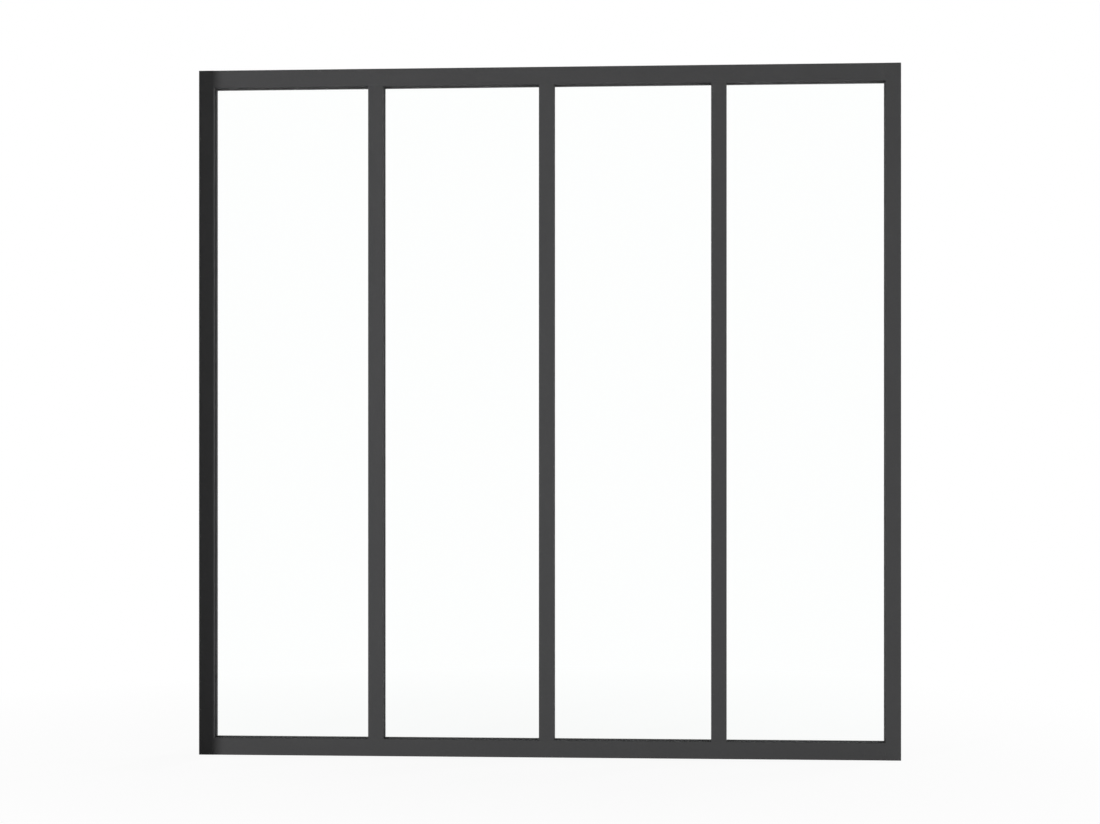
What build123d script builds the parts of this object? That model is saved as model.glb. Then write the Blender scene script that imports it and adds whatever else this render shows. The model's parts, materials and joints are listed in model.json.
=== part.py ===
from build123d import *
import os

# Overall size, millimetres
frame_width = 1230.0
frame_height = 1208.0
bay_count = 4

# Faces of the bars, as seen from the front
stile_face = 26.5
rail_face = 30.0
mullion_face = 26.5

# Extruded sections shared by all bars
wall = 1.5
edge_radius = 0.6
rebate_height = 10.0
lip_depth = 12.0

# Glass and its bedding
glass_thickness = 6.0
glass_edge_clearance = 3.0
glass_arris = 0.5
block_length = 50.0

# Rubber strips
gasket_thickness = 2.5
gasket_width = 7.0
gasket_recess = 1.0
gasket_nose = 1.0
gasket_slot = 2.0
foot_clearance = 0.2
barb_width = 3.2
barb_tip = 1.2
barb_depth = 1.4
strip_gap = 0.3

# Snap-in beads and the ribs that hold them
bead_depth = 12.0
bead_wall = 1.2
bead_bevel = 0.5
bead_gap = 0.3
rib_stem_width = 2.6
rib_head_width = 5.0
rib_head_height = 1.2
rib_clearance = 0.3
rib_end_gap = 2.0

# Fixing holes in the outer bars
fixing_hole = 5.5
fixing_access = 10.0
stile_fixing_inset = 204.0

# Screwed joints: holes for shank and head, and the ports in the rails that take the threads
joint_hole = 4.5
joint_access = 8.5
access_edge = 0.5
port_bore = 3.8
port_wall = 1.3
port_mouth = 2.2
port_sides = 8

# Depths behind the front face
glass_front = lip_depth + gasket_thickness
glass_back = glass_front + glass_thickness
bead_front = glass_back + gasket_thickness
frame_depth = bead_front + bead_depth
bead_middle = bead_front + bead_depth / 2
port_radius = port_bore / 2 + port_wall
front_port = wall + access_edge + joint_access / 2
back_port = frame_depth - front_port

# Heights above a bar's outer face or above the floor of its rebate
stile_chamber = stile_face - rebate_height
rail_chamber = rail_face - rebate_height
mullion_web = mullion_face - 2 * rebate_height
gasket_top = rebate_height - gasket_recess
gasket_bottom = gasket_top - gasket_width
slot_centre = gasket_bottom + gasket_width / 2
rib_stem_height = bead_wall + rib_clearance

# Places of the bars and of the rebates in the frame
half_width = frame_width / 2
bay_pitch = (frame_width - 2 * stile_face + mullion_face) / bay_count
daylight_width = bay_pitch - mullion_face
rebate_width = daylight_width + 2 * rebate_height
floor_low = rail_chamber
floor_high = frame_height - rail_chamber
sight_low = rail_face
sight_high = frame_height - rail_face


def rect(depth_from, depth_to, height_from, height_to):
    """Rectangle of a section: depth behind the front face, then height above the section's base."""
    centre = Pos((depth_from + depth_to - frame_depth) / 2, (height_from + height_to) / 2)
    return centre * Rectangle(depth_to - depth_from, height_to - height_from)


def outline(points):
    """Straight-sided part of a section, from pairs of depth and height."""
    return make_face(Polyline(*[(depth - frame_depth / 2, height) for depth, height in points], close=True))


def corner_points(section, corners):
    """The section's own corners that lie nearest to these pairs of depth and height."""
    places = [Vector(depth - frame_depth / 2, height) for depth, height in corners]
    return [min(section.vertices(), key=lambda v: (Vector(v) - place).length) for place in places]


def rounded(section, corners, radius):
    """The section with the corners at these pairs of depth and height rounded off."""
    return fillet(corner_points(section, corners), radius)


def bevelled(section, corners, length):
    """The section with the corners at these pairs of depth and height cut off."""
    return chamfer(corner_points(section, corners), length)


def turned(section):
    """The section upside down, for the bar on the opposite side."""
    return mirror(section, about=Plane.XZ)


def upright(section, x, z_from, z_to):
    """Vertical extrusion whose section grows to the right from x."""
    plane = Plane(origin=(x, 0, z_from), x_dir=(0, 1, 0), z_dir=(0, 0, -1))
    return extrude(plane * section, amount=z_to - z_from, dir=(0, 0, 1))


def crossbar(section, z, x_from, x_to):
    """Horizontal extrusion whose section grows upwards from z."""
    plane = Plane(origin=(x_from, 0, z), x_dir=(0, 1, 0), z_dir=(1, 0, 0))
    return extrude(plane * section, amount=x_to - x_from, dir=(1, 0, 0))


def rebate_left(bay):
    """The floor of the rebate on the left of a bay, counted from 0 at the left end."""
    return -half_width + stile_chamber + bay * bay_pitch


def mullion_x(number):
    """The middle of a mullion, counted from 1 at the left."""
    return -half_width + stile_face - mullion_face / 2 + number * bay_pitch


def slot(height):
    """Gasket slot through the back wall of a lip, with its rebate floor at this height."""
    middle = height + slot_centre
    return rect(lip_depth - wall, lip_depth, middle - gasket_slot / 2, middle + gasket_slot / 2)


def rib_section():
    """Mushroom rib on the floor of a rebate, which a bead snaps over."""
    stem = rect(bead_middle - rib_stem_width / 2, bead_middle + rib_stem_width / 2, 0, rib_stem_height)
    half_head = rib_head_width / 2
    head_top = rib_stem_height + rib_head_height
    head = rect(bead_middle - half_head, bead_middle + half_head, rib_stem_height, head_top)
    return stem + head


def border_section(chamber):
    """Stile or rail: a box chamber, and a hollow lip in front of the glass with a gasket slot."""
    face = chamber + rebate_height
    section = rect(0, frame_depth, 0, chamber) + rect(0, lip_depth, chamber, face)
    section = rounded(section, [(0, 0), (0, face), (frame_depth, 0)], edge_radius)
    section -= rect(wall, frame_depth - wall, wall, chamber - wall)
    section -= rect(wall, lip_depth - wall, chamber, face - wall)
    return section - slot(chamber)


def port_section(depth, wall_side):
    """Screw port in a rail: a flat-sided ring on a stem from the wall at the depth wall_side, open opposite."""
    middle = rail_chamber / 2
    half_mouth = port_mouth / 2
    half_stem = port_wall / 2
    open_side = 2 * depth - wall_side
    ring = RegularPolygon(port_radius, port_sides, major_radius=False, rotation=180 / port_sides)
    port = Pos(depth - frame_depth / 2, middle) * ring
    port += rect(min(depth, wall_side), max(depth, wall_side), middle - half_stem, middle + half_stem)
    port -= Pos(depth - frame_depth / 2, middle) * Circle(port_bore / 2)
    return port - rect(min(depth, open_side), max(depth, open_side), middle - half_mouth, middle + half_mouth)


def rail_section():
    """Rail: the border section with a screw port on its front wall and one on its back wall."""
    section = border_section(rail_chamber) + port_section(front_port, wall / 2)
    return section + port_section(back_port, frame_depth - wall / 2)


def mullion_front_section():
    """Front of a mullion: three cells in a row, the outer two with a gasket slot."""
    half = mullion_face / 2
    box = rounded(rect(0, lip_depth, -half, half), [(0, -half), (0, half)], edge_radius)
    box -= rect(wall, lip_depth, wall - mullion_web / 2, mullion_web / 2 - wall)
    side_cell = rect(wall, lip_depth - wall, mullion_web / 2, half - wall) + slot(mullion_web / 2)
    return box - side_cell - turned(side_cell)


def mullion_web_section():
    """Hollow web of a mullion, which parts two panes."""
    half = mullion_web / 2
    web = rounded(
        rect(lip_depth, frame_depth, -half, half), [(frame_depth, -half), (frame_depth, half)], edge_radius
    )
    return web - rect(lip_depth, frame_depth - wall, wall - half, half - wall)


def bead_section():
    """Glazing bead: a channel with two lips that catch under the head of the rib."""
    mouth = rib_stem_width / 2 + rib_clearance
    bead = bevelled(
        rect(bead_front, frame_depth, 0, rebate_height),
        [(bead_front, rebate_height), (frame_depth, rebate_height)],
        bead_bevel,
    )
    bead -= rect(bead_front + bead_wall, frame_depth - bead_wall, bead_wall, rebate_height - bead_wall)
    return bead - rect(bead_middle - mouth, bead_middle + mouth, 0, bead_wall)


def front_strip_section():
    """Body of a front gasket, between lip and glass, with a sloping nose at the sight line."""
    return outline(
        [
            (lip_depth, gasket_bottom),
            (glass_front, gasket_bottom),
            (glass_front, gasket_top),
            (glass_front - gasket_nose, gasket_top),
            (lip_depth, gasket_top - gasket_nose),
        ]
    )


def foot_section():
    """Barbed foot of a front gasket, pushed through the slot of a lip."""
    half_stem = gasket_slot / 2 - foot_clearance
    inside = lip_depth - wall
    stem = rect(inside, lip_depth, slot_centre - half_stem, slot_centre + half_stem)
    barb = outline(
        [
            (inside, slot_centre - barb_width / 2),
            (inside, slot_centre + barb_width / 2),
            (inside - barb_depth, slot_centre + barb_tip / 2),
            (inside - barb_depth, slot_centre - barb_tip / 2),
        ]
    )
    return stem + barb


def back_strip_section():
    """Wedge gasket pressed in between glass and bead, narrower at its inner end."""
    return outline(
        [
            (glass_back, gasket_bottom),
            (bead_front - gasket_nose, gasket_bottom),
            (bead_front, gasket_bottom + gasket_nose),
            (bead_front, gasket_top),
            (glass_back + gasket_nose, gasket_top),
            (glass_back, gasket_top - gasket_nose),
        ]
    )


def drill(height, diameter):
    """Cutter for a hole through the wall whose upper side lies at this height in a section."""
    return Pos(0, 0, height - wall / 2) * Cylinder(diameter / 2, 2 * wall)


def fixing_cutters(chamber):
    """Screw hole in the outer wall of a bar and the wider access hole in its rebate floor."""
    return drill(wall, fixing_hole) + drill(chamber, fixing_access)


def joint_cutters(chamber):
    """Access hole for a screw's head in the outer wall of a bar, and a hole for its shank in the floor."""
    return drill(wall, joint_access) + drill(chamber, joint_hole)


def left_stile():
    """Upright over the full height, with its bead rib, fixing holes and holes for the rails' screws."""
    rib_inset = rebate_height + rib_end_gap
    bar = upright(border_section(stile_chamber), -half_width, 0, frame_height)
    bar += upright(rib_section(), rebate_left(0), floor_low + rib_inset, floor_high - rib_inset)
    for z in (stile_fixing_inset, frame_height - stile_fixing_inset):
        bar -= Pos(-half_width, 0, z) * Rot(0, 90, 0) * fixing_cutters(stile_chamber)
    back_screw = joint_cutters(stile_chamber)
    front_screw = back_screw + drill(stile_face, joint_hole)
    for z in (rail_chamber / 2, frame_height - rail_chamber / 2):
        bar -= Pos(-half_width, back_port - frame_depth / 2, z) * Rot(0, 90, 0) * back_screw
        bar -= Pos(-half_width, front_port - frame_depth / 2, z) * Rot(0, 90, 0) * front_screw
    return bar


def bottom_rail():
    """Rail between the stiles, cut back at its ends to pass behind their lips."""
    end = half_width - stile_chamber
    rib_inset = rebate_height + rib_end_gap
    bar = crossbar(rail_section(), 0, -end, end)
    lip_middle = (lip_depth - frame_depth) / 2
    lip_zone = Pos(0, lip_middle, rail_face / 2) * Box(rebate_height, lip_depth, rail_face)
    for side in (-1, 1):
        bar -= Pos(side * (end - rebate_height / 2), 0, 0) * lip_zone
    for bay in range(bay_count):
        left = rebate_left(bay)
        bar += crossbar(rib_section(), floor_low, left + rib_inset, left + rebate_width - rib_inset)
        bar -= Pos(left + rebate_width / 2, 0, 0) * fixing_cutters(rail_chamber)
    for number in range(1, bay_count):
        bar -= Pos(mullion_x(number), 0, 0) * joint_cutters(rail_chamber)
    return bar


def mullion(x):
    """Upright between two panes: its front box stops at the rails' lips, its web at their chambers.

    The narrow hollow of the web takes the thread of one screw at either end.
    """
    rib_inset = rebate_height + rib_end_gap
    bar = upright(mullion_front_section(), x, sight_low, sight_high)
    bar += upright(mullion_web_section(), x, floor_low, floor_high)
    rib_from = floor_low + rib_inset
    rib_to = floor_high - rib_inset
    bar += upright(rib_section(), x + mullion_web / 2, rib_from, rib_to)
    bar += upright(turned(rib_section()), x - mullion_web / 2, rib_from, rib_to)
    return bar


def glass_pane(left):
    """Sheet of glass with ground edges, held off the floor of its rebate all round."""
    width = rebate_width - 2 * glass_edge_clearance
    height = floor_high - floor_low - 2 * glass_edge_clearance
    sheet = chamfer(Box(width, glass_thickness, height).edges(), glass_arris)
    middle_depth = (glass_front + glass_back - frame_depth) / 2
    return Pos(left + rebate_width / 2, middle_depth, (floor_low + floor_high) / 2) * sheet


def setting_blocks(left):
    """Two packers under the quarter points of a pane."""
    quarter = (rebate_width - 2 * glass_edge_clearance) / 4
    section = rect(glass_front, glass_back, 0, glass_edge_clearance)
    blocks = []
    for middle in (left + rebate_width / 2 - quarter, left + rebate_width / 2 + quarter):
        blocks.append(crossbar(section, floor_low, middle - block_length / 2, middle + block_length / 2))
    return blocks


def strips(section, left):
    """Four square-cut gasket strips round a pane: bottom, top, left and right."""
    right = left + rebate_width
    x_from = left + glass_edge_clearance
    x_to = right - glass_edge_clearance
    z_from = floor_low + gasket_top + strip_gap
    z_to = floor_high - gasket_top - strip_gap
    return [
        crossbar(section, floor_low, x_from, x_to),
        crossbar(turned(section), floor_high, x_from, x_to),
        upright(section, left, z_from, z_to),
        upright(turned(section), right, z_from, z_to),
    ]


def feet(left):
    """Feet of the four front strips, as long as the lips whose slots they sit in."""
    right = left + rebate_width
    x_from = left + rebate_height + strip_gap
    x_to = right - rebate_height - strip_gap
    z_from = sight_low + strip_gap
    z_to = sight_high - strip_gap
    return [
        crossbar(foot_section(), floor_low, x_from, x_to),
        crossbar(turned(foot_section()), floor_high, x_from, x_to),
        upright(foot_section(), left, z_from, z_to),
        upright(turned(foot_section()), right, z_from, z_to),
    ]


def beads(left):
    """Four beads behind a pane: the level ones run right across, the upright ones stand between them."""
    right = left + rebate_width
    z_from = floor_low + rebate_height + bead_gap
    z_to = floor_high - rebate_height - bead_gap
    return {
        "bottom": crossbar(bead_section(), floor_low, left + bead_gap, right - bead_gap),
        "top": crossbar(turned(bead_section()), floor_high, left + bead_gap, right - bead_gap),
        "left": upright(bead_section(), left, z_from, z_to),
        "right": upright(turned(bead_section()), right, z_from, z_to),
    }


def assembly():
    """All pieces of the partition by the name of their node."""
    stile = left_stile()
    rail = bottom_rail()
    middle_height = Plane.XY.offset(frame_height / 2)
    nodes = {
        "left_stile": stile,
        "right_stile": mirror(stile, about=Plane.YZ),
        "bottom_rail": rail,
        "top_rail": mirror(rail, about=middle_height),
    }
    for number in range(1, bay_count):
        nodes[f"mullion_{number}"] = mullion(mullion_x(number))
    for bay in range(bay_count):
        left = rebate_left(bay)
        number = bay + 1
        nodes[f"glass_pane_{number}"] = glass_pane(left)
        nodes[f"setting_blocks_{number}"] = Compound(setting_blocks(left))
        front = [body + foot for body, foot in zip(strips(front_strip_section(), left), feet(left))]
        nodes[f"front_gasket_{number}"] = Compound(front)
        nodes[f"back_gasket_{number}"] = Compound(strips(back_strip_section(), left))
        for side, bead in beads(left).items():
            nodes[f"bead_{number}_{side}"] = bead
    return nodes


os.makedirs("parts", exist_ok=True)
for name, shape in assembly().items():
    export_step(shape, f"parts/{name}.step")
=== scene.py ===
"""Looks of the glass partition: finishes of its bars, strips and panes, with studio and camera."""
import json
import math

import bmesh
import bpy
from mathutils import Matrix, Vector


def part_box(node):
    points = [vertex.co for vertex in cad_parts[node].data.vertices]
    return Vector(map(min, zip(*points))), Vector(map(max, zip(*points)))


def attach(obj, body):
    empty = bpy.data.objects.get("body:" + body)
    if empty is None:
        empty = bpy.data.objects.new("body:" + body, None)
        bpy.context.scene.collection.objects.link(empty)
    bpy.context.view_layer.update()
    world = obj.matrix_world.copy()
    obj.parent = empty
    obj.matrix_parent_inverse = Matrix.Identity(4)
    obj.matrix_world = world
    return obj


# Camera, from the picture's measured edges: pixels of the 1100 x 824 frame, metres and radians
PICTURE_WIDTH = 1100.0
FOCAL_PIXELS = 2075.6
HORIZON_BELOW_MIDDLE = 52.4
CAMERA_PLACE = (0.2293, -3.6391, 0.5127)
CAMERA_TURN = 0.0615
SENSOR_WIDTH = 36.0

# Studio lamps: place, aim and size in metres, power in watts
LAMPS = {
    "key": {"place": (-1.70, -3.20, 0.42), "aim": (0.30, 0.0, 0.55), "size": (0.32, 1.30), "power": 125.0},
    "fill": {"place": (1.90, -2.20, 0.35), "aim": (0.40, 0.0, 0.55), "size": (0.80, 0.80), "power": 16.0},
    "back": {"place": (2.20, 1.60, 0.60), "aim": (0.0, 0.0, 0.60), "size": (0.80, 1.20), "power": 62.0},
}

# Strength of the even light from all round
AMBIENT = 0.13

# Card between the key lamp and the left stile, and the edge of its shade on the frame's front, in metres
FLAG_DEPTH = -0.20
FLAG_WIDTH = 0.09
FLAG_HEIGHT = (-0.2, 1.6)
SHADE_EDGE = -0.5825

# Floor, in metres: its glow grows to full white over the distances in FLOOR_FADE
FLOOR_HALF = 14.0
FLOOR_DROP = 0.0005
FLOOR_GREY = 0.86
FLOOR_ROUGHNESS = 0.9
FLOOR_GLOW = 0.93
FLOOR_FADE = (0.3, 1.6)

# Range that most values of a noise lie in
NOISE_RANGE = (0.3, 0.7)

# Powder coat: linear colour and shares of it, noise in cells to the metre, relief in metres and strength
PAINT = (0.0555, 0.0555, 0.0565)
PAINT_DARK_SPECKS = (0.84, 0.96)
PAINT_LIGHT_SPECKS = (1.04, 1.16)
PAINT_GRAIN = 1500.0
PAINT_GRAIN_RANGE = (0.35, 0.65)
PAINT_CLOUD = 11.0
PAINT_ROUGHNESS = (0.68, 0.76)
PAINT_RELIEF = (0.00008, 0.5)
PAINT_SPECULAR = 0.08

# Coat painted lighter at edges, partly as rubbed wear and partly as a painted edge highlight: width in
# metres, cosines of the edge's turn at no lightening and at full lightening
WORN_PAINT_AND_EDGE_HIGHLIGHT = (0.082, 0.082, 0.083)
WEAR_AND_HIGHLIGHT_RADIUS = 0.0012
WEAR_AND_HIGHLIGHT_SAMPLES = 6
WEAR_AND_HIGHLIGHT_COSINES = (0.995, 0.80)
WEAR_AND_HIGHLIGHT_PATCHES = 38.0
WEAR_AND_HIGHLIGHT_PATCH_RANGE = (0.40, 0.62)

# Gasket rubber, in the terms of the powder coat, as the finishes below
RUBBER = (0.016, 0.016, 0.0165)
RUBBER_TONES = (0.8, 1.3)
RUBBER_BLOOM = 60.0
RUBBER_ROUGHNESS = (0.62, 0.80)
RUBBER_GRAIN = 2200.0
RUBBER_RELIEF = (0.00005, 0.4)
RUBBER_SPECULAR = 0.30

# Plastic of the setting blocks
PACKER = (0.030, 0.030, 0.031)
PACKER_TONES = (0.85, 1.2)
PACKER_MOTTLE = 300.0
PACKER_ROUGHNESS = (0.45, 0.60)

# Glass
GLASS_TINT = (0.985, 0.995, 0.990)
GLASS_IOR = 1.5
GLASS_HAZE = 7.0
GLASS_HAZE_RANGE = (0.35, 0.75)
GLASS_ROUGHNESS = (0.0, 0.012)
GLASS_WAVES = 5.0
GLASS_WAVE_STRETCH = (1.0, 1.0, 0.3)
GLASS_RELIEF = (0.00002, 0.2)

# Zinc plate of the screws
ZINC = (0.60, 0.60, 0.58)
ZINC_TONES = (0.80, 1.10)
ZINC_CLOUD = 500.0
ZINC_ROUGHNESS = (0.26, 0.44)
ZINC_SCRATCHES = 900.0
ZINC_SCRATCH_STRETCH = (1.0, 8.0, 8.0)
ZINC_RELIEF = (0.00003, 0.3)

# Assembly screws, in metres and degrees; the head's outline is in shares of its radius and height
SCREW_SIDES = 24
SCREW_SMOOTHING = 35.0
HEAD_RADIUS = 0.0040
HEAD_HEIGHT = 0.0029
HEAD_OUTLINE = ((0.66, 1.0), (0.80, 0.90), (0.92, 0.68), (0.985, 0.40), (1.0, 0.12), (0.97, 0.0))
CROSS_REACH = 0.0021
CROSS_DEPTH = 0.0014
CROSS_TAPER = 0.75
THREAD_RADIUS = 0.0017
THREAD_CORE = 0.0013
THREAD_PITCH = 0.0014
THREAD_STEPS = 4
RIDGE_STEEPNESS = 1.6
TIP_RADII = 3.0
TIP_SHARE = 0.1
CORNER_SCREW_LENGTH = 0.032
MULLION_SCREW_LENGTH = 0.025

# Where the bars are drilled for the screws, in metres from their outer faces
STILE_SEAT = 0.0150
RAIL_SEAT = 0.0185
PORT_DEPTH = 0.00625
PORT_HEIGHT = 0.010

# Numbers of the colour sockets of a Mix node, whose other sockets have the same names
MIX_FIRST = 6
MIX_SECOND = 7
MIX_RESULT = 2


def link(tree, start, end):
    """Joins an output socket to an input socket."""
    tree.links.new(start, end)


def add(tree, kind, **settings):
    """A new shader node with these properties set."""
    node = tree.nodes.new(kind)
    for key, value in settings.items():
        setattr(node, key, value)
    return node


def noise(tree, scale, detail=3.0, stretch=(1.0, 1.0, 1.0)):
    """Noise in the part's own frame, as many cells to the metre as scale says."""
    coordinates = add(tree, "ShaderNodeTexCoord")
    mapping = add(tree, "ShaderNodeMapping")
    mapping.inputs["Scale"].default_value = stretch
    texture = add(tree, "ShaderNodeTexNoise")
    texture.inputs["Scale"].default_value = scale
    texture.inputs["Detail"].default_value = detail
    link(tree, coordinates.outputs["Object"], mapping.inputs["Vector"])
    link(tree, mapping.outputs["Vector"], texture.inputs["Vector"])
    return texture.outputs["Fac"]


def spread(tree, value, before, after=(0.0, 1.0)):
    """The value brought from one range to another."""
    node = add(tree, "ShaderNodeMapRange")
    for key, number in zip(("From Min", "From Max", "To Min", "To Max"), (*before, *after)):
        node.inputs[key].default_value = number
    link(tree, value, node.inputs["Value"])
    return node.outputs["Result"]


def combine(tree, operation, first, second):
    """One value made of two by this operation."""
    node = add(tree, "ShaderNodeMath", operation=operation)
    link(tree, first, node.inputs[0])
    link(tree, second, node.inputs[1])
    return node.outputs["Value"]


def blend(tree, factor, first, second):
    """Mix of two colours, each a triple or a socket."""
    node = add(tree, "ShaderNodeMix", data_type="RGBA")
    link(tree, factor, node.inputs["Factor"])
    for key, colour in ((MIX_FIRST, first), (MIX_SECOND, second)):
        if isinstance(colour, tuple):
            node.inputs[key].default_value = (*colour, 1.0)
        else:
            link(tree, colour, node.inputs[key])
    return node.outputs[MIX_RESULT]


def tones(tree, factor, colour, shares):
    """Mix of two shades of a colour."""
    darker, lighter = [tuple(channel * share for channel in colour) for share in shares]
    return blend(tree, factor, darker, lighter)


def bump(tree, height, depth, strength):
    """Normal of a surface whose relief is this deep, in metres."""
    node = add(tree, "ShaderNodeBump")
    node.inputs["Distance"].default_value = depth
    node.inputs["Strength"].default_value = strength
    link(tree, height, node.inputs["Height"])
    return node.outputs["Normal"]


def edges(tree):
    """1 along sharp edges and 0 on flat faces, from how far rounding turns the normal."""
    rounding = add(tree, "ShaderNodeBevel", samples=WEAR_AND_HIGHLIGHT_SAMPLES)
    rounding.inputs["Radius"].default_value = WEAR_AND_HIGHLIGHT_RADIUS
    geometry = add(tree, "ShaderNodeNewGeometry")
    cosine = add(tree, "ShaderNodeVectorMath", operation="DOT_PRODUCT")
    link(tree, rounding.outputs["Normal"], cosine.inputs[0])
    link(tree, geometry.outputs["Normal"], cosine.inputs[1])
    return spread(tree, cosine.outputs["Value"], WEAR_AND_HIGHLIGHT_COSINES)


def mix_surfaces(tree, factor, first, second):
    """Makes a material's surface a mix of two shaders."""
    both = add(tree, "ShaderNodeMixShader")
    link(tree, factor, both.inputs["Fac"])
    link(tree, first, both.inputs[1])
    link(tree, second, both.inputs[2])
    link(tree, both.outputs["Shader"], tree.nodes["Material Output"].inputs["Surface"])


def material(name):
    """A new material with its node tree and main shader."""
    made = bpy.data.materials.new(name)
    made.use_nodes = True
    return made, made.node_tree, made.node_tree.nodes["Principled BSDF"]


def paint():
    """Black powder coat: fine speckled texture, cloudy gloss, and edges lighter here and there, partly as
    rubbed wear and partly as a painted edge highlight.
    """
    made, tree, shader = material("powder_coat")
    cloud = noise(tree, PAINT_CLOUD)
    grain = noise(tree, PAINT_GRAIN, detail=2.0)
    patches = spread(tree, noise(tree, WEAR_AND_HIGHLIGHT_PATCHES), WEAR_AND_HIGHLIGHT_PATCH_RANGE)
    # Mask of lighter edges in patches: partly rubbed wear, partly a painted edge highlight
    wear_and_highlight = combine(tree, "MULTIPLY", edges(tree), patches)
    dark_specks = tones(tree, cloud, PAINT, PAINT_DARK_SPECKS)
    light_specks = tones(tree, cloud, PAINT, PAINT_LIGHT_SPECKS)
    coat = blend(tree, spread(tree, grain, PAINT_GRAIN_RANGE), dark_specks, light_specks)
    # Edges of the coat painted lighter: wear and a painted highlight
    link(tree, blend(tree, wear_and_highlight, coat, WORN_PAINT_AND_EDGE_HIGHLIGHT), shader.inputs["Base Color"])
    link(tree, spread(tree, cloud, NOISE_RANGE, PAINT_ROUGHNESS), shader.inputs["Roughness"])
    link(tree, bump(tree, grain, *PAINT_RELIEF), shader.inputs["Normal"])
    shader.inputs["Specular IOR Level"].default_value = PAINT_SPECULAR
    return made


def rubber():
    """Gasket rubber: dull, with a faint bloom and a fine grain."""
    made, tree, shader = material("gasket_rubber")
    bloom = noise(tree, RUBBER_BLOOM)
    link(tree, tones(tree, bloom, RUBBER, RUBBER_TONES), shader.inputs["Base Color"])
    link(tree, spread(tree, bloom, NOISE_RANGE, RUBBER_ROUGHNESS), shader.inputs["Roughness"])
    link(tree, bump(tree, noise(tree, RUBBER_GRAIN), *RUBBER_RELIEF), shader.inputs["Normal"])
    shader.inputs["Specular IOR Level"].default_value = RUBBER_SPECULAR
    return made


def packer():
    """Moulded plastic of the setting blocks."""
    made, tree, shader = material("packer_plastic")
    mottle = noise(tree, PACKER_MOTTLE)
    link(tree, tones(tree, mottle, PACKER, PACKER_TONES), shader.inputs["Base Color"])
    link(tree, spread(tree, mottle, NOISE_RANGE, PACKER_ROUGHNESS), shader.inputs["Roughness"])
    return made


def glass():
    """Clear float glass with the faint waviness of its rolling; lamps shine through it."""
    made, tree, shader = material("clear_glass")
    shader.inputs["Base Color"].default_value = (*GLASS_TINT, 1.0)
    shader.inputs["Transmission Weight"].default_value = 1.0
    shader.inputs["IOR"].default_value = GLASS_IOR
    haze = noise(tree, GLASS_HAZE)
    waves = noise(tree, GLASS_WAVES, detail=1.0, stretch=GLASS_WAVE_STRETCH)
    link(tree, spread(tree, haze, GLASS_HAZE_RANGE, GLASS_ROUGHNESS), shader.inputs["Roughness"])
    link(tree, bump(tree, waves, *GLASS_RELIEF), shader.inputs["Normal"])
    clear = add(tree, "ShaderNodeBsdfTransparent")
    path = add(tree, "ShaderNodeLightPath").outputs
    passing = combine(tree, "MAXIMUM", path["Is Shadow Ray"], path["Is Diffuse Ray"])
    mix_surfaces(tree, passing, shader.outputs["BSDF"], clear.outputs["BSDF"])
    return made


def zinc():
    """Zinc-plated steel of the screws: bright, with cloudy gloss and fine scratches."""
    made, tree, shader = material("zinc_plate")
    cloud = noise(tree, ZINC_CLOUD)
    scratches = noise(tree, ZINC_SCRATCHES, detail=4.0, stretch=ZINC_SCRATCH_STRETCH)
    link(tree, tones(tree, cloud, ZINC, ZINC_TONES), shader.inputs["Base Color"])
    link(tree, spread(tree, cloud, NOISE_RANGE, ZINC_ROUGHNESS), shader.inputs["Roughness"])
    link(tree, bump(tree, scratches, *ZINC_RELIEF), shader.inputs["Normal"])
    shader.inputs["Metallic"].default_value = 1.0
    return made


def seen(tree):
    """1 for a ray that shows the surroundings: straight, by reflection or through glass."""
    path = add(tree, "ShaderNodeLightPath").outputs
    outside = combine(tree, "MAXIMUM", path["Is Camera Ray"], path["Is Glossy Ray"])
    return combine(tree, "MAXIMUM", outside, path["Is Transmission Ray"])


def dress(frame):
    """Gives every node of the frame its finish, by the record's slots."""
    finishes = {
        "frame_paint": paint(),
        "glass": glass(),
        "gasket_rubber": rubber(),
        "packer_plastic": packer(),
    }
    slots = {row["node"]: row["material_slot"] for row in frame["record"]["subparts"]}
    for name, piece in frame["nodes"].items():
        for material_slot in piece.material_slots:
            material_slot.material = finishes[slots[name]]


def add_object(name, data):
    """A new object in the scene with this mesh, lamp or camera."""
    made = bpy.data.objects.new(name, data)
    bpy.context.scene.collection.objects.link(made)
    return made


def ridge(phase):
    """Height of a thread's ridge over its core, from 0 to 1, at a place in its pitch."""
    return max(0.0, 1.0 - RIDGE_STEEPNESS * abs(2.0 * phase - 1.0))


def thread_loops(length):
    """Rings of the shank, as radii and heights, with a ridge that climbs round it and a pointed end."""
    steps = round(length / THREAD_PITCH * THREAD_STEPS)
    taper = TIP_RADII * THREAD_RADIUS
    ridge_height = THREAD_RADIUS - THREAD_CORE
    loops = []
    for step in range(1, steps + 1):
        height = length * step / steps
        share = min(1.0, TIP_SHARE + (length - height) / taper)
        phases = [(height / THREAD_PITCH - side / SCREW_SIDES) % 1.0 for side in range(SCREW_SIDES)]
        radii = [share * (THREAD_CORE + ridge_height * ridge(phase)) for phase in phases]
        loops.append((radii, height))
    return loops


def cross_radii(size):
    """Outline of a cross recess about the screw's axis, for arms that end at this distance from it."""
    half_arm = size * math.tan(math.tau / SCREW_SIDES)
    quarter = SCREW_SIDES // 4
    radii = []
    for side in range(SCREW_SIDES):
        steps = min(side % quarter, quarter - side % quarter)
        angle = steps * math.tau / SCREW_SIDES
        radii.append(size / math.cos(angle) if steps < 2 else half_arm / math.sin(angle))
    return radii


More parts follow.
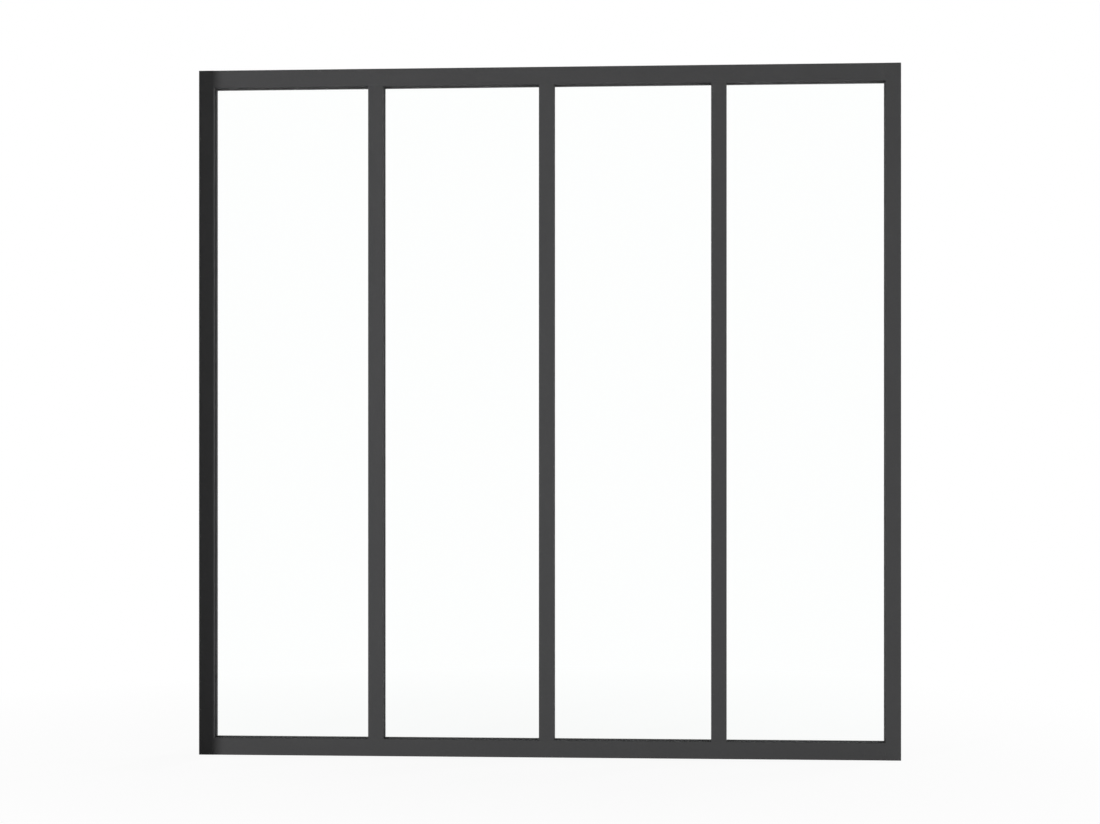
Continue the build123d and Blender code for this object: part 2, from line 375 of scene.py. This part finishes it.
def screw_loops(length):
    """Rings of a pan-head screw from the floor of its recess round the head to the tip of its shank."""
    loops = [
        (cross_radii(CROSS_TAPER * CROSS_REACH), CROSS_DEPTH - HEAD_HEIGHT),
        (cross_radii(CROSS_REACH), -HEAD_HEIGHT),
    ]
    for radius, height in HEAD_OUTLINE:
        loops.append(([radius * HEAD_RADIUS] * SCREW_SIDES, -height * HEAD_HEIGHT))
    loops.append(([THREAD_CORE] * SCREW_SIDES, 0.0))
    return loops + thread_loops(length)


def screws(name, places, length):
    """One piece with a screw at each place: where its head bears, and the direction of its shank."""
    shape = bmesh.new()
    for seat, direction in places:
        turn = Matrix.Translation(seat) @ Vector(direction).to_track_quat("Z", "Y").to_matrix().to_4x4()
        rings = []
        for radii, height in screw_loops(length):
            ring = []
            for side, radius in enumerate(radii):
                angle = math.tau * side / SCREW_SIDES
                spot = Vector((radius * math.cos(angle), radius * math.sin(angle), height))
                ring.append(shape.verts.new(turn @ spot))
            rings.append(ring)
        shape.faces.new(rings[0][::-1])
        shape.faces.new(rings[-1])
        for first, second in zip(rings, rings[1:]):
            for side in range(SCREW_SIDES):
                after = (side + 1) % SCREW_SIDES
                shape.faces.new((first[side], first[after], second[after], second[side]))
    bmesh.ops.recalc_face_normals(shape, faces=shape.faces)
    mesh = bpy.data.meshes.new(name)
    shape.to_mesh(mesh)
    shape.free()
    mesh.shade_smooth()
    mesh.set_sharp_from_angle(angle=math.radians(SCREW_SMOOTHING))
    return add_object(name, mesh)


def fasten():
    """Screws of the frame's corners, in the stiles, and of its tees, in the rails."""
    low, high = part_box("left_stile")
    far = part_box("right_stile")[1][0]
    corners = []
    for y in (low[1] + PORT_DEPTH, high[1] - PORT_DEPTH):
        for z in (low[2] + PORT_HEIGHT, high[2] - PORT_HEIGHT):
            corners.append(((low[0] + STILE_SEAT, y, z), (1.0, 0.0, 0.0)))
            corners.append(((far - STILE_SEAT, y, z), (-1.0, 0.0, 0.0)))
    tees = []
    for name in ("mullion_1", "mullion_2", "mullion_3"):
        left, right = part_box(name)
        x = (left[0] + right[0]) / 2
        tees.append(((x, 0.0, low[2] + RAIL_SEAT), (0.0, 0.0, 1.0)))
        tees.append(((x, 0.0, high[2] - RAIL_SEAT), (0.0, 0.0, -1.0)))
    finish = zinc()
    for piece in (
        screws("corner_screws", corners, CORNER_SCREW_LENGTH),
        screws("mullion_screws", tees, MULLION_SCREW_LENGTH),
    ):
        piece.data.materials.append(finish)
        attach(piece, "root")


def sheet(name, corners):
    """A flat four-cornered mesh."""
    mesh = bpy.data.meshes.new(name)
    mesh.from_pydata(corners, [], [(0, 1, 2, 3)])
    return add_object(name, mesh)


def floor():
    """White floor that keeps the object's shadow and melts into the white surroundings."""
    made, tree, shader = material("white_floor")
    shader.inputs["Base Color"].default_value = (FLOOR_GREY, FLOOR_GREY, FLOOR_GREY, 1.0)
    shader.inputs["Roughness"].default_value = FLOOR_ROUGHNESS
    shader.inputs["Specular IOR Level"].default_value = 0.0
    glow = add(tree, "ShaderNodeEmission")
    coordinates = add(tree, "ShaderNodeTexCoord")
    distance = add(tree, "ShaderNodeVectorMath", operation="LENGTH")
    link(tree, coordinates.outputs["Object"], distance.inputs[0])
    share = spread(tree, distance.outputs["Value"], FLOOR_FADE, (FLOOR_GLOW, 1.0))
    glowing = combine(tree, "MULTIPLY", share, seen(tree))
    mix_surfaces(tree, glowing, shader.outputs["BSDF"], glow.outputs["Emission"])
    side = FLOOR_HALF
    outline = ((-side, -side), (side, -side), (side, side), (-side, side))
    piece = sheet("floor", [(x, y, -FLOOR_DROP) for x, y in outline])
    piece.data.materials.append(made)


def surroundings():
    """World that shows white and lights the object at a plain level."""
    world = bpy.data.worlds.new("surroundings")
    world.use_nodes = True
    bpy.context.scene.world = world
    tree = world.node_tree
    background = tree.nodes["Background"]
    background.inputs["Color"].default_value = (1.0, 1.0, 1.0, 1.0)
    link(tree, spread(tree, seen(tree), (0.0, 1.0), (AMBIENT, 1.0)), background.inputs["Strength"])


def hide(thing):
    """Keeps a lamp or card out of sight: straight, by reflection or through glass."""
    thing.visible_camera = False
    thing.visible_glossy = False
    thing.visible_transmission = False


def soft_light(name, place, aim, size, power):
    """Rectangular lamp at a place, turned to what it aims at; it gives light but doesn't show itself."""
    data = bpy.data.lights.new(name, "AREA")
    data.shape = "RECTANGLE"
    data.size, data.size_y = size
    data.energy = power
    lamp = add_object(name, data)
    hide(lamp)
    lamp.location = place
    lamp.rotation_euler = (Vector(aim) - Vector(place)).to_track_quat("-Z", "Y").to_euler()


def flag():
    """Card that keeps the key light off the left stile, and shows only by that shadow."""
    lamp_x, lamp_y, _ = LAMPS["key"]["place"]
    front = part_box("left_stile")[0][1]
    share = (FLAG_DEPTH - lamp_y) / (front - lamp_y)
    right = lamp_x + (SHADE_EDGE - lamp_x) * share
    left = right - FLAG_WIDTH
    low, high = FLAG_HEIGHT
    outline = ((left, low), (right, low), (right, high), (left, high))
    card = sheet("flag", [(x, FLAG_DEPTH, z) for x, z in outline])
    card.data.materials.append(material("card")[0])
    hide(card)
    card.visible_diffuse = False


def camera():
    """Camera at the picture's place, level, with its lens shifted up as the picture's framing needs."""
    data = bpy.data.cameras.new("camera")
    data.sensor_width = SENSOR_WIDTH
    data.lens = SENSOR_WIDTH * FOCAL_PIXELS / PICTURE_WIDTH
    data.shift_y = HORIZON_BELOW_MIDDLE / PICTURE_WIDTH
    eye = add_object("camera", data)
    eye.location = CAMERA_PLACE
    eye.rotation_euler = (math.pi / 2, 0.0, CAMERA_TURN)
    bpy.context.scene.camera = eye


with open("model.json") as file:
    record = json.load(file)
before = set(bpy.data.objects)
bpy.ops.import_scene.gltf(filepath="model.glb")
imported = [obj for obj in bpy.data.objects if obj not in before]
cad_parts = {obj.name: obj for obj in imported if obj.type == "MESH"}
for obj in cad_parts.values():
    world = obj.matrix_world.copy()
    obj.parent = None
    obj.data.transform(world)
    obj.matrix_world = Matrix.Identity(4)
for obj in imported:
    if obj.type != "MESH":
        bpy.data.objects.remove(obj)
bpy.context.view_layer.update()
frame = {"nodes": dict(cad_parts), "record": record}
dress(frame)
fasten()
floor()
surroundings()
for name, lamp in LAMPS.items():
    soft_light(name, **lamp)
flag()
camera()
bpy.context.scene.view_settings.view_transform = "Standard"
